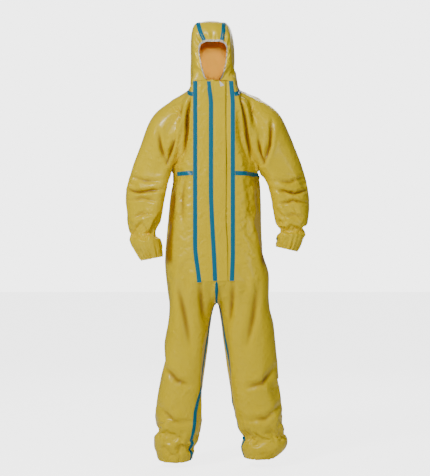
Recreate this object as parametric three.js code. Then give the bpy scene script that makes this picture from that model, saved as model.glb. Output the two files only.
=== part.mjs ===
// Chemical protective suit: a hooded one-piece coverall with taped seams, in millimetres.
// +Z up, the front faces -Y, +X is the wearer's left. The origin is on the floor line between the feet.
import * as THREE from "three";

// ---------------------------------------------------------------- driving dimensions
const WALL = 2.5; // fabric wall, with its folds
const SEAM = 1.2; // clearance left along every panel edge
const TAPE_WIDTH = 17;
const TAPE_LIFT = 0.9; // between a panel and the tape over its seam
const TAPE_THICK = 0.8;
const MID = 6; // the centre seam below the flap is a little off the middle
const FLY_BOTTOM = 744;
const FLY_TOP = 1522;
const CHIN = 1534;
const CROTCH = 655;
const WAIST = 1167;
const ARMPIT = 1205;
const NECK = 1488;
const FRONT_Y = -124; // outer face of the fly at its bottom
const FRONT_LEAN = 0.042; // the straight fly leans back by this much per mm of height
const SIDE_Y = 6;
const FLY_X = { right: -78, centre: -16, left: 70 }; // the three taped seams of the fly
const ZIP_X = 20;
const SIDES = ["right", "left"];
const out = { right: -1, left: 1 }; // which way is outwards

// height: [right side x, left side x, back y]
const TRUNK = [
  [744, -197, 224, 128], [840, -200, 208, 134], [960, -190, 190, 130], [1080, -180, 184, 124],
  [WAIST, -170, 180, 116], [ARMPIT, -179, 186, 120],
];
const BACK_UPPER = [[ARMPIT, 120], [1330, 126], [1430, 108], [NECK + 8, 84]];
const ARMHOLE = { x: { right: -180, left: 186 }, top: { right: 1455, left: 1463 }, depth: 97 };
const NECK_SIDE = { right: -104, left: 96 };

// sleeve rows seen from the front: inner x, inner z, outer x, outer z, middle y, half depth
const SLEEVE = {
  right: [
    [-181, 1207, -181, 1454, 6, 96], [-181, 1204, -240, 1410, 5, 92], [-181, 1200, -270, 1350, 4, 88],
    [-182, 1193, -292, 1288, 3, 84], [-183, 1186, -310, 1240, 2, 80], [-185, 1176, -331, 1194, 1, 77],
    [-194, 1145, -347, 1154, 0, 75], [-203, 1090, -356, 1094, -3, 73], [-215, 1035, -352, 1032, -8, 69],
    [-226, 950, -340, 948, -16, 62], [-212, 876, -322, 868, -23, 56], [-214, 852, -306, 842, -25, 42],
    [-208, 840, -292, 822, -26, 44],
  ],
  left: [
    [187, 1207, 187, 1462, 6, 96], [187, 1204, 252, 1414, 5, 92], [187, 1200, 282, 1356, 4, 88],
    [189, 1193, 306, 1296, 3, 84], [195, 1186, 330, 1246, 2, 80], [206, 1176, 352, 1198, 1, 77],
    [222, 1145, 366, 1156, 0, 75], [237, 1090, 379, 1092, -3, 73], [244, 1035, 380, 1032, -8, 69],
    [249, 960, 366, 958, -16, 60], [246, 904, 350, 900, -22, 54], [248, 890, 338, 880, -24, 42],
    [243, 877, 328, 859, -25, 44],
  ],
};
const SLEEVE_ENDS = { head: [0, 5], upper: [5, 6], elbow: [6, 8], lower: [8, 11], cuff: [11, 12] };
// leg rows: height, inner x, outer x, half depth
const LEG = {
  right: [
    [640, -6, -196, 106], [592, -17, -193, 102], [505, -28, -204, 98], [430, -38, -208, 95], [355, -48, -221, 92],
    [264, -56, -236, 90], [150, -65, -248, 86], [84, -76, -246, 78], [46, -86, -232, 66],
  ],
  left: [
    [640, 16, 232, 106], [592, 24, 236, 102], [505, 36, 244, 98], [430, 50, 250, 95], [355, 58, 252, 92],
    [264, 72, 260, 90], [150, 101, 272, 84], [112, 108, 274, 70], [44, 108, 276, 72],
  ],
};
const LEG_ENDS = { hip: [-1, 1], thigh: [1, 2], knee: [2, 4], shin: [4, 7], ankle: [7, 8] };
const HEM_DIP = 22; // the trouser hem hangs lower at the front
// hood: profile of the middle strip, from the forehead over the crown to the nape: y, z
const HOOD_PROFILE = [
  [-98, 1686], [-92, 1722], [-62, 1760], [-10, 1777], [50, 1768], [98, 1728], [120, 1668], [112, 1610], [92, 1556],
];
const HOOD_EDGE = { right: [-40, -56, -66, -70, -64, -56, -50, -48, -46], left: [26, 32, 34, 36, 38, 38, 36, 34, 32] };
// lower edge of a hood side, from the chin round to the nape: x offset from the middle, y, z
const JAW = [
  [24, -101, 1545], [52, -92, 1546], [74, -62, 1548], [86, -12, 1549], [82, 40, 1549], [66, 72, 1548], [50, 86, 1548],
  [46, 90, 1547], [40, 92, 1546],
];
const HOOD_MID = -8;
const HOOD_BULGE = { right: 92, left: 88 };

// ---------------------------------------------------------------- colours
const YELLOW = { color: 0xe3cd2b, roughness: 0.42, metalness: 0 };
const TEAL = { color: 0x0f7a9c, roughness: 0.35, metalness: 0 };
const ELASTIC = { color: 0xd8c58a, roughness: 0.85, metalness: 0 };
const PLASTIC = { color: 0x2b2d2f, roughness: 0.5, metalness: 0 };
const WHITE = { color: 0xf2f0e6, roughness: 0.6, metalness: 0 };

// ---------------------------------------------------------------- helpers
const group = new THREE.Group();
const v3 = (x, y, z) => new THREE.Vector3(x, y, z);
const mix = (a, b, t) => a + (b - a) * t;
const frontY = (z) => FRONT_Y + (z - FLY_BOTTOM) * FRONT_LEAN;

function add(name, geometry, look) {
  const mesh = new THREE.Mesh(geometry, new THREE.MeshStandardMaterial(look));
  mesh.name = name;
  group.add(mesh);
}

// one column of a table of rows, read at a height between them
function read(rows, z, column) {
  const top = rows.length - 1;
  const k = Math.max(0, Math.min(top - 1, rows.findIndex((r) => r[0] > z) - 1));
  const i = z >= rows[top][0] ? top - 1 : k;
  const t = Math.max(0, Math.min(1, (z - rows[i][0]) / (rows[i + 1][0] - rows[i][0])));
  return mix(rows[i][column], rows[i + 1][column], t);
}

function gridNormals(grid, closed) {
  const columns = grid[0].length;
  const near = (j, step) => (closed ? (j + step + columns) % columns : Math.max(0, Math.min(columns - 1, j + step)));
  return grid.map((row, i) =>
    row.map((_, j) => {
      const across = row[near(j, 1)].clone().sub(row[near(j, -1)]);
      const along = grid[Math.min(i + 1, grid.length - 1)][j].clone().sub(grid[Math.max(i - 1, 0)][j]);
      return across.cross(along).normalize();
    }),
  );
}

const middle = (points) => points.reduce((sum, p) => sum.add(p), v3(0, 0, 0)).divideScalar(points.length);

// a closed sheet from a grid of points: it reaches from `low` to `high` along the normals that look away from `inside`
function sheet(grid, low, high, closed = false, inside = null) {
  const normals = gridNormals(grid, closed);
  const centre = middle(grid.flat());
  const core = inside ?? (closed ? centre : v3(HOOD_MID, SIDE_Y, centre.z));
  const facing = grid.flat().reduce((sum, p, k) => sum + p.clone().sub(core).dot(normals.flat()[k]), 0);
  if (facing < 0) normals.flat().forEach((n) => n.negate());
  const [rows, columns] = [grid.length, grid[0].length];
  const points = [];
  for (const offset of [high, low])
    grid.forEach((row, i) => row.forEach((p, j) => points.push(p.clone().addScaledVector(normals[i][j], offset))));
  const id = (layer, i, j) => (layer * rows + i) * columns + (j % columns);
  const faces = [];
  const quad = (a, b, c, d) => faces.push([a, b, c], [a, c, d]);
  const spans = closed ? columns : columns - 1;
  for (let i = 0; i < rows - 1; i++)
    for (let j = 0; j < spans; j++) {
      quad(id(0, i, j), id(0, i, j + 1), id(0, i + 1, j + 1), id(0, i + 1, j));
      quad(id(1, i, j), id(1, i + 1, j), id(1, i + 1, j + 1), id(1, i, j + 1));
    }
  for (let j = 0; j < spans; j++) {
    quad(id(1, 0, j), id(1, 0, j + 1), id(0, 0, j + 1), id(0, 0, j));
    const top = rows - 1;
    quad(id(0, top, j), id(0, top, j + 1), id(1, top, j + 1), id(1, top, j));
  }
  if (!closed)
    for (let i = 0; i < rows - 1; i++) {
      quad(id(0, i, 0), id(0, i + 1, 0), id(1, i + 1, 0), id(1, i, 0));
      const end = columns - 1;
      quad(id(1, i, end), id(1, i + 1, end), id(0, i + 1, end), id(0, i, end));
    }
  return solid(points, faces);
}

// an indexed solid, turned so that its faces look outwards
function solid(points, faces) {
  const volume = faces.reduce((sum, [a, b, c]) => sum + points[a].dot(points[b].clone().cross(points[c])), 0);
  const geometry = new THREE.BufferGeometry().setFromPoints(points);
  geometry.setIndex(faces.flatMap(([a, b, c]) => (volume > 0 ? [a, b, c] : [a, c, b])));
  geometry.computeVertexNormals();
  return geometry;
}

// draws a grid's edges in by `gap`, so that neighbouring panels keep clear of each other
function trim(grid, gap, closed = false) {
  const toward = (p, q) => p.clone().add(q.clone().sub(p).setLength(gap));
  const last = grid.length - 1;
  let next = grid.map((row) => row.slice());
  next[0] = grid[0].map((p, j) => toward(p, grid[1][j]));
  next[last] = grid[last].map((p, j) => toward(p, grid[last - 1][j]));
  if (!closed)
    next = next.map((row) => {
      const end = row.length - 1;
      return row.map((p, j) => (j === 0 ? toward(p, row[1]) : j === end ? toward(p, row[end - 1]) : p));
    });
  return next;
}

// a bar whose cross-section is drawn in (x, depth behind the fly's face) and that runs up the leaning fly
function flyBar(outline, low, high) {
  const shape = new THREE.Shape(outline.map(([x, y]) => new THREE.Vector2(x, y)));
  const bar = new THREE.ExtrudeGeometry(shape, { depth: high - low, bevelEnabled: false });
  const at = bar.attributes.position;
  for (let i = 0; i < at.count; i++) {
    const z = low + at.getZ(i);
    at.setXYZ(i, at.getX(i), frontY(z) + at.getY(i), z);
  }
  bar.computeVertexNormals();
  return bar;
}
const flyPlate = (x0, x1, y0, y1, low, high) => flyBar([[x0, y0], [x1, y0], [x1, y1], [x0, y1]], low, high);

// ---------------------------------------------------------------- trunk
// a quarter of a rounded box from `a` in front to `b` at the side; turn runs 0 to 1
function corner(a, b, turn) {
  const s = Math.sin((turn * Math.PI) / 2) ** 0.8;
  const c = Math.cos((turn * Math.PI) / 2) ** 0.8;
  return v3(mix(a.x, b.x, s), mix(b.y, a.y, c), mix(a.z, b.z, turn * turn));
}
const TURNS = [0.14, 0.32, 0.52, 0.76, 1];
const flatX = (side) => FLY_X[side] + out[side] * (TAPE_WIDTH / 2 + 1);

// where a trunk row meets the side: down the side seam, then round the armhole, then along the shoulder
function sideAt(side, facing, t) {
  const x = ARMHOLE.x[side];
  const [low, high] = [ARMPIT, ARMHOLE.top[side]];
  if (t <= 0.8) {
    const angle = (t / 0.8) * Math.PI;
    const z = (low + high) / 2 - ((high - low) / 2) * Math.cos(angle);
    return v3(x, SIDE_Y + facing * ARMHOLE.depth * Math.sin(angle), z);
  }
  const s = (t - 0.8) / 0.2;
  return v3(mix(x, NECK_SIDE[side], s), SIDE_Y + facing * 1.5, mix(high, NECK + 14, s));
}
const LOWER = [744, 840, 960, 1080, WAIST - 14, WAIST + 14, ARMPIT];
const UPPER = [0.16, 0.32, 0.48, 0.64, 0.8, 1];

function frontRows(side, bottom = 0) {
  const lower = LOWER.slice(bottom).map((z) => [z, v3(read(TRUNK, z, side === "right" ? 1 : 2), SIDE_Y - 1.5, z)]);
  const upper = UPPER.map((t) => [mix(ARMPIT, NECK - 8, t), sideAt(side, -1, t)]);
  return [...lower, ...upper].map(([z, end]) => {
    const start = v3(flatX(side), frontY(z), z);
    const seam = v3(FLY_X[side] + out[side] * 0.3, frontY(z), z);
    return [seam, start, ...TURNS.map((turn) => corner(start, end, turn))];
  });
}

function backRows(side) {
  const lower = LOWER.map((z) => [z, read(TRUNK, z, 3), v3(read(TRUNK, z, side === "right" ? 1 : 2), SIDE_Y + 1.5, z)]);
  const upper = UPPER.map((t) => {
    const z = mix(ARMPIT, NECK + 8, t);
    return [z, read(BACK_UPPER, z, 1), sideAt(side, 1, t)];
  });
  return [...lower, ...upper].map(([z, y, end]) => {
    const start = v3(out[side] * 40, y, z);
    return [v3(HOOD_MID + out[side] * 0.3, y, z), start, ...TURNS.map((turn) => corner(start, end, turn))];
  });
}

function trunk() {
  for (const side of SIDES) {
    add(`${side}_front_panel`, sheet(trim(frontRows(side), SEAM), -WALL, 0), YELLOW);
    add(`${side}_back_panel`, sheet(trim(backRows(side), SEAM), -WALL, 0), YELLOW);
  }
  const elastic = SIDES.map((side) => backRows(side).slice(4, 6).map((row) => row.slice(0, 5)));
  const band = [0, 1].map((i) => [...elastic[0][i].toReversed(), ...elastic[1][i]]);
  add("waist_elastic", sheet(trim(band, SEAM), -WALL - 2.6, -WALL - 1), ELASTIC);
}

// ---------------------------------------------------------------- fly, zip and flaps
function fly() {
  const z0 = FLY_BOTTOM + 1;
  add("right_placket", flyBar([
    [-77.7, 0], [-15, 0], [-8, 12.5], [2, 12.5], [2, 15], [-9.5, 15], [-16.5, 2.5], [-77.7, 2.5],
  ], z0, FLY_TOP), YELLOW);
  add("left_placket", flyBar([
    [69.7, 0], [64, 4], [38.5, 4], [38.5, 12.5], [36, 12.5], [36, 15], [41, 15], [41, 6.5], [65, 6.5], [69.7, 3],
  ], z0, FLY_TOP), YELLOW);
  add("zip_tape_right", flyPlate(2.4, ZIP_X - 4.3, 13.3, 14.3, 770, 1510), PLASTIC);
  add("zip_tape_left", flyPlate(ZIP_X + 4.3, 35.6, 13.3, 14.3, 770, 1510), PLASTIC);
  add("zip_teeth_right", flyPlate(ZIP_X - 4, ZIP_X - 1.2, 11.6, 16, 790, 1510), PLASTIC);
  add("zip_teeth_left", flyPlate(ZIP_X + 1.2, ZIP_X + 4, 11.6, 16, 790, 1510), PLASTIC);
  add("zip_bottom_stop", flyPlate(ZIP_X - 4, ZIP_X + 4, 11.2, 16.4, 778, 789), PLASTIC);
  const hw = 7;
  const slider = [
    [ZIP_X - hw, 9.4], [ZIP_X + hw, 9.4], [ZIP_X + hw, 11], [ZIP_X + 0.8, 11], [ZIP_X + 0.8, 16.8],
    [ZIP_X + hw, 16.8], [ZIP_X + hw, 18.4], [ZIP_X - hw, 18.4], [ZIP_X - hw, 16.8], [ZIP_X - 0.8, 16.8],
    [ZIP_X - 0.8, 11], [ZIP_X - hw, 11],
  ];
  add("zip_slider", flyBar(slider, 1484, 1504), PLASTIC);
  add("zip_pull", flyPlate(ZIP_X - 4, ZIP_X + 4, 7.2, 8.6, 1466, 1498), PLASTIC);
  add("inner_flap", flyPlate(-8, 52, 21, 23, 756, FLY_TOP), YELLOW);
  add("storm_flap", flyPlate(-6.6, 46, -1, 1, FLY_BOTTOM, FLY_TOP), YELLOW);
  add("flap_adhesive", flyPlate(24, 36, 1.3, 1.9, 760, 1508), WHITE);
  add("release_liner", flyPlate(23.5, 36.5, 2.2, 2.8, 756, FLY_TOP + 10), WHITE);
}

// ---------------------------------------------------------------- seam tapes on the trunk
function trunkTapes() {
  const half = TAPE_WIDTH / 2;
  for (const side of SIDES) {
    const x = FLY_X[side];
    add(`${side}_fly_tape`, flyPlate(x - half, x + half, -TAPE_LIFT - TAPE_THICK, -TAPE_LIFT, 748, 1530), TEAL);
    const rows = frontRows(side).slice(4, 6).map((row) => row.slice(1));
    const [low, high] = [WAIST - half, WAIST + half].map((z) => (z - rows[0][0].z) / (rows[1][0].z - rows[0][0].z));
    const band = [low, high].map((t) => rows[0].map((p, j) => p.clone().lerp(rows[1][j], t)));
    add(`${side}_waist_tape`, sheet(trim(band, 0.4), TAPE_LIFT, TAPE_LIFT + TAPE_THICK), TEAL);
  }
  const x = FLY_X.centre;
  add("centre_fly_tape", flyPlate(x - half, x + half - 0.5, -TAPE_LIFT - TAPE_THICK, -TAPE_LIFT, 748, 1530), TEAL);
}

// ---------------------------------------------------------------- collar, where the hood joins the neck
function collarRow(side, lift) {
  const front = frontRows(side).at(-1).slice(1);
  const back = backRows(side).at(-1).toReversed();
  const low = [...front, ...back.slice(1)];
  const n = low.length - 1;
  return low.map((p, j) => {
    const jaw = JAW[Math.min(JAW.length - 1, Math.round((j / n) * (JAW.length - 1)))];
    const closing = Math.min(1, (n - j) / 2.5); // both sides meet at the centre back
    const high = v3(HOOD_MID + out[side] * jaw[0] * closing, jaw[1] * 0.96, jaw[2] - 4);
    const clear = Math.abs(flatX(side)) + 3 + j; // the collar keeps beside the fly, which runs up to the chin
    if (j < 5) high.x = out[side] * Math.max(clear, out[side] * high.x);
    return p.clone().lerp(high, lift);
  });
}

function collar() {
  for (const side of SIDES) {
    const rows = [0.1, 0.55, 0.98].map((lift) => collarRow(side, lift));
    add(`${side}_collar`, sheet(trim(rows, SEAM), -WALL, 0), YELLOW);
  }
  const rows = [0.12, 0.42].map((lift) => [
    ...collarRow("right", lift).slice(0, -1), ...collarRow("left", lift).slice(0, -1).toReversed(),
  ]);
  add("neck_tape", sheet(trim(rows, 3), 1.6, 1.6 + TAPE_THICK), TEAL);
}

// ---------------------------------------------------------------- hood
const hoodEdge = (side, i) => v3(HOOD_EDGE[side][i], HOOD_PROFILE[i][0], HOOD_PROFILE[i][1] - 5);

function hoodSide(side, shares) {
  return shares.map((s) =>
    HOOD_PROFILE.map((_, i) => {
      const top = hoodEdge(side, i);
      const low = v3(HOOD_MID + out[side] * JAW[i][0], JAW[i][1], JAW[i][2]);
      const p = top.lerp(low, s);
      const widest = HOOD_MID + out[side] * HOOD_BULGE[side];
      const back = Math.sin((Math.min(i, 7) / 8) * Math.PI) ** 0.5;
      p.x = mix(p.x, widest, Math.sin(s * Math.PI) ** 0.6 * mix(0.34, 0.86, back));
      return p;
    }),
  );
}

function hood() {
  const centre = HOOD_PROFILE.map(([y, z], i) => {
    const [a, b] = [hoodEdge("right", i), hoodEdge("left", i)];
    const bow = Math.max(0, Math.sin((i / 8) * Math.PI)) * 3;
    return [a, v3((a.x + b.x) / 2, y + (i > 4 ? bow : 0), z), b];
  });
  add("hood_centre_strip", sheet(trim(centre, SEAM * 1.5), -WALL, 0), YELLOW);
  for (const side of SIDES) {
    add(`${side}_hood_side`, sheet(trim(hoodSide(side, [0, 0.2, 0.5, 0.8, 1]), SEAM), -WALL, 0), YELLOW);
    const seam = hoodSide(side, [0, 0.12]);
    const tape = HOOD_PROFILE.map((_, i) => {
      const mid = centre[i][side === "right" ? 0 : 2];
      const down = mid.clone().add(seam[1][i].clone().sub(mid).setLength(TAPE_WIDTH / 2));
      const over = mid.clone().add(centre[i][1].clone().sub(mid).setLength(TAPE_WIDTH / 2));
      return [down, mid, over];
    });
    const outward = side === "right" ? tape : tape.map((row) => row.toReversed());
    add(`${side}_hood_tape`, sheet(trim(outward, 0.5), 2.2, 2.2 + TAPE_THICK), TEAL);
  }
}

function faceElastic() {
  const edge = (side) => hoodSide(side, [0, 0.2, 0.5, 0.8, 1]).map((row) => row[0]);
  const loop = [...edge("right"), v3(-14, -101, CHIN + 4), v3(0, -101, CHIN + 4), ...edge("left").toReversed()];
  const inside = v3(HOOD_MID, -99, 1615);
  const ring = [0, 9].map((draw) => loop.map((p) => p.clone().add(inside.clone().sub(p).setLength(2 + draw))));
  add("face_elastic", sheet(ring.map((row) => row.map((p) => p.clone().add(v3(0, -4, 0)))), -1, 1, true, inside), ELASTIC);
}

// ---------------------------------------------------------------- sleeves
const AROUND = 12;
function sleeveRing(side, row, grow = 0, from = 0, to = AROUND) {
  const [xi, zi, xo, zo, y, depth] = SLEEVE[side][row];
  const ring = [];
  for (let k = from; k < to; k++) {
    const a = (k / AROUND) * 2 * Math.PI;
    const s = Math.sign(Math.cos(a)) * Math.abs(Math.cos(a)) ** 0.9;
    const d = Math.sign(Math.sin(a)) * Math.abs(Math.sin(a)) ** 0.9;
    const p = v3(mix(xi, xo, (1 - s) / 2), y + d * depth, mix(zi, zo, (1 - s) / 2));
    ring.push(p);
  }
  return ring;
}

function sleeves() {
  for (const side of SIDES) {
    for (const [name, [first, last]] of Object.entries(SLEEVE_ENDS)) {
      const rings = [];
      for (let row = first; row <= last; row++) rings.push(sleeveRing(side, row));
      const look = name === "cuff" ? ELASTIC : YELLOW;
      add(`${side}_sleeve_${name}`, sheet(trim(rings, name === "head" ? 1.6 : 0.5, true), -WALL, 0, true), look);
    }
    const strip = [8, 9, 10, 11].map((row) => [-1, 0, 1].map((k) => {
      const [xi, zi, , , y] = SLEEVE[side][row];
      return v3(xi - out[side] * TAPE_LIFT, y + (k * TAPE_WIDTH) / 2, zi);
    }));
    const arm = v3(out[side] * 300, 0, 950);
    add(`${side}_underarm_tape`, sheet(trim(strip, 2), TAPE_LIFT, TAPE_LIFT + TAPE_THICK, false, arm), TEAL);
  }
}

// ---------------------------------------------------------------- legs
const LEG_AROUND = 16;
const OUTER_SPANS = 12; // of the sixteen, from the front centre seam round the outside to the back one

// the trunk's outline on one side at its lower edge, from the front centre (0) to the back centre (1)
function hipOutline(side, f) {
  const z = FLY_BOTTOM - 2;
  const x = TRUNK[0][side === "right" ? 1 : 2];
  const inner = MID + out[side] * 1.5;
  const start = v3(flatX(side), frontY(z), z);
  const end = v3(x, SIDE_Y, z);
  const rear = v3(out[side] * 40, TRUNK[0][3], z);
  if (f < 0.2) return v3(mix(inner, start.x, f / 0.2), start.y, z);
  if (f < 0.5) return corner(start, end, (f - 0.2) / 0.3);
  if (f < 0.8) return corner(rear, end, 1 - (f - 0.5) / 0.3);
  return v3(mix(rear.x, inner, (f - 0.8) / 0.2), rear.y, z);
}

function hipRow(side) {
  const row = [];
  for (let k = 0; k < LEG_AROUND; k++) {
    if (k <= OUTER_SPANS) row.push(hipOutline(side, k / OUTER_SPANS));
    else {
      const t = (k - OUTER_SPANS) / (LEG_AROUND - OUTER_SPANS);
      const z = mix(FLY_BOTTOM, CROTCH, Math.sin(t * Math.PI) ** 0.5);
      row.push(v3(MID + out[side] * 1.5, mix(TRUNK[0][3], frontY(CROTCH), t) * 0.9, z));
    }
  }
  return row;
}

function legRing(side, row) {
  if (row < 0) return hipRow(side);
  const [z, xi, xo, depth] = LEG[side][row];
  const last = row === LEG[side].length - 1;
  const ring = [];
  for (let k = 0; k < LEG_AROUND; k++) {
    const a = (k / LEG_AROUND) * 2 * Math.PI - Math.PI / 4;
    const s = Math.sign(Math.sin(a)) * Math.abs(Math.sin(a)) ** 0.85;
    const c = Math.sign(Math.cos(a)) * Math.abs(Math.cos(a)) ** 0.85;
    ring.push(v3(mix(xi, xo, (1 + s) / 2), 6 - c * depth, z - (last ? HEM_DIP * (0.5 + 0.5 * c) : 0)));
  }
  return ring;
}

function legs() {
  for (const side of SIDES) {
    for (const [name, [first, last]] of Object.entries(LEG_ENDS)) {
      const rings = [];
      for (let row = first; row <= last; row++) rings.push(legRing(side, row));
      const look = name === "ankle" ? ELASTIC : YELLOW;
      add(`${side}_leg_${name}`, sheet(trim(rings, name === "hip" ? 1.6 : 0.5, true), -WALL, 0, true), look);
    }
    for (const [name, rows] of [["thigh", [1, 2]], ["shin", [4, 5, 6, 7]]]) {
      const strip = rows.map((row) => [-1, 0, 1].map((k) => {
        const [z, xi] = LEG[side][row];
        return v3(xi - out[side] * TAPE_LIFT, 6 + (k * TAPE_WIDTH) / 2, z);
      }));
      const leg = v3(out[side] * 150, 0, 400);
      add(`${side}_inseam_tape_${name}`, sheet(trim(strip, 2), TAPE_LIFT, TAPE_LIFT + TAPE_THICK, false, leg), TEAL);
    }
  }
  const z0 = FLY_BOTTOM - 4;
  const strip = [[z0, 0], [z0 - 22, 0], [z0 - 44, 8]].map(([z, y]) => [-1, 1].map((k) => v3(MID + k * 8.5, frontY(z) + y, z)));
  add("crotch_tape", sheet(strip, TAPE_LIFT, TAPE_LIFT + TAPE_THICK), TEAL);
}

trunk();
fly();
trunkTapes();
collar();
hood();
faceElastic();
sleeves();
legs();

export default group;
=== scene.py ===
import bpy
import numpy as np
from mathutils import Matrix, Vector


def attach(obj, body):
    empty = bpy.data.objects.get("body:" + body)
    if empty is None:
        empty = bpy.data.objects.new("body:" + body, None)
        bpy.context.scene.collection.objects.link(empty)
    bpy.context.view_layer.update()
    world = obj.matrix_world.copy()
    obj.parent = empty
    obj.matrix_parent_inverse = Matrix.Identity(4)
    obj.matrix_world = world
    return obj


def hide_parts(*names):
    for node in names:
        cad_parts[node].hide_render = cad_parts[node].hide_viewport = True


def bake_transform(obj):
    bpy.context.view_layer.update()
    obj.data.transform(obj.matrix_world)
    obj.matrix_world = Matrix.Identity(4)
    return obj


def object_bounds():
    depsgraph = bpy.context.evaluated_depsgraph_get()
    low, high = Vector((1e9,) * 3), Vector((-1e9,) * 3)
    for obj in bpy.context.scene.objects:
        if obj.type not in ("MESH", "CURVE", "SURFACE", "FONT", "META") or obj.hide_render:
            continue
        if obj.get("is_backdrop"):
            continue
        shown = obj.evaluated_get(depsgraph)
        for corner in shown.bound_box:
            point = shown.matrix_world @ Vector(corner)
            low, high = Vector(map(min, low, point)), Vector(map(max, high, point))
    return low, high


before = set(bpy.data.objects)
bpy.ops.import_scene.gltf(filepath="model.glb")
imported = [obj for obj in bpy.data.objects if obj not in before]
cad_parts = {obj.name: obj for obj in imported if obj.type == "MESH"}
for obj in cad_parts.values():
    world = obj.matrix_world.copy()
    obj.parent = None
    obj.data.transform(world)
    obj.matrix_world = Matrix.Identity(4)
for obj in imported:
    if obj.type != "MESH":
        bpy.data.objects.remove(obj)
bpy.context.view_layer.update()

# Body panels. The trunk is cut from coated non-woven cloth as two fronts and two backs, and each runs from the
# leg line up past the armhole to the neck seam. The panels are welded edge to edge and the joins are taped.
# Right and left are the wearer's, so the right side is at -X.
MM = 0.001
SIDES = {"right": -1, "left": 1}
FLY_X = {"right": -78.0, "centre": -16.0, "left": 70.0}
FLY_FOOT, ARMPIT, NECK = 744.0, 1205.0, 1480.0
ARMHOLE_X = {"right": -180.0, "left": 186.0}
ARMHOLE_TOP = {"right": 1462.0, "left": 1474.0}
NECK_SIDE = {"right": -104.0, "left": 96.0}
SIDE_Y = 6.0
ARMHOLE_DEPTH = 96
WAIST = 1167
SEAM_ROOM = 9.5
# height, right side x, left side x, back y
TRUNK = np.array([
    [744, -199, 234, 128], [792, -200, 221, 133], [850, -199, 206, 134], [960, -188, 190, 130],
    [1080, -180, 184, 124], [1167, -170, 180, 116], [1205, -180, 186, 120]], float)
BACK = np.array([[1205, 120], [1330, 127], [1430, 108], [1496, 84]], float)
LOWER_ROWS, ARC_ROWS, SHOULDER_ROWS = 42, 33, 7


def through(keys, at):
    """Smooth curve through the rows of keys, read at the first column's values: a cubic between each pair of
    keys, whose slope at a key is that of the chord between its two neighbours."""
    keys = keys if keys[0, 0] < keys[-1, 0] else keys[::-1]
    x, y = keys[:, 0], keys[:, 1:]
    slope = np.gradient(y, x, axis=0)
    i = np.clip(np.searchsorted(x, at) - 1, 0, len(x) - 2)
    h = (x[i + 1] - x[i])[..., None]
    t = np.clip((at - x[i])[..., None] / h, 0, 1)
    return ((2 * t**3 - 3 * t**2 + 1) * y[i] + (t**3 - 2 * t**2 + t) * h * slope[i]
            + (3 * t**2 - 2 * t**3) * y[i + 1] + (t**3 - t**2) * h * slope[i + 1])


def front_y(z):
    """Depth of the straight fly, which leans back by 42 mm in each metre of height."""
    return -124 + (z - FLY_FOOT) * 0.042


def ramp(t, low=0.0, high=1.0):
    """0 below low, 1 above high, and a smooth step between them."""
    t = np.clip((t - low) / (high - low), 0, 1)
    return t * t * (3 - 2 * t)


def fly_x(which, z):
    """Where a lengthwise seam of the fly runs at height z. The right one turns in at the leg line, and the
    centre one drifts across from the wearer's right at the chin to the middle."""
    if which == "right":
        return FLY_X[which] + 17 * (1 - ramp(z, 715, 890))
    if which == "centre":
        return FLY_X[which] - 10 * ramp(z, 1440, 1540) + 17 * (1 - ramp(z, 690, 1120))
    return FLY_X[which] - 4 * (1 - ramp(z, 720, 860)) - 7 * ramp(z, 1440, 1540)


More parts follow.
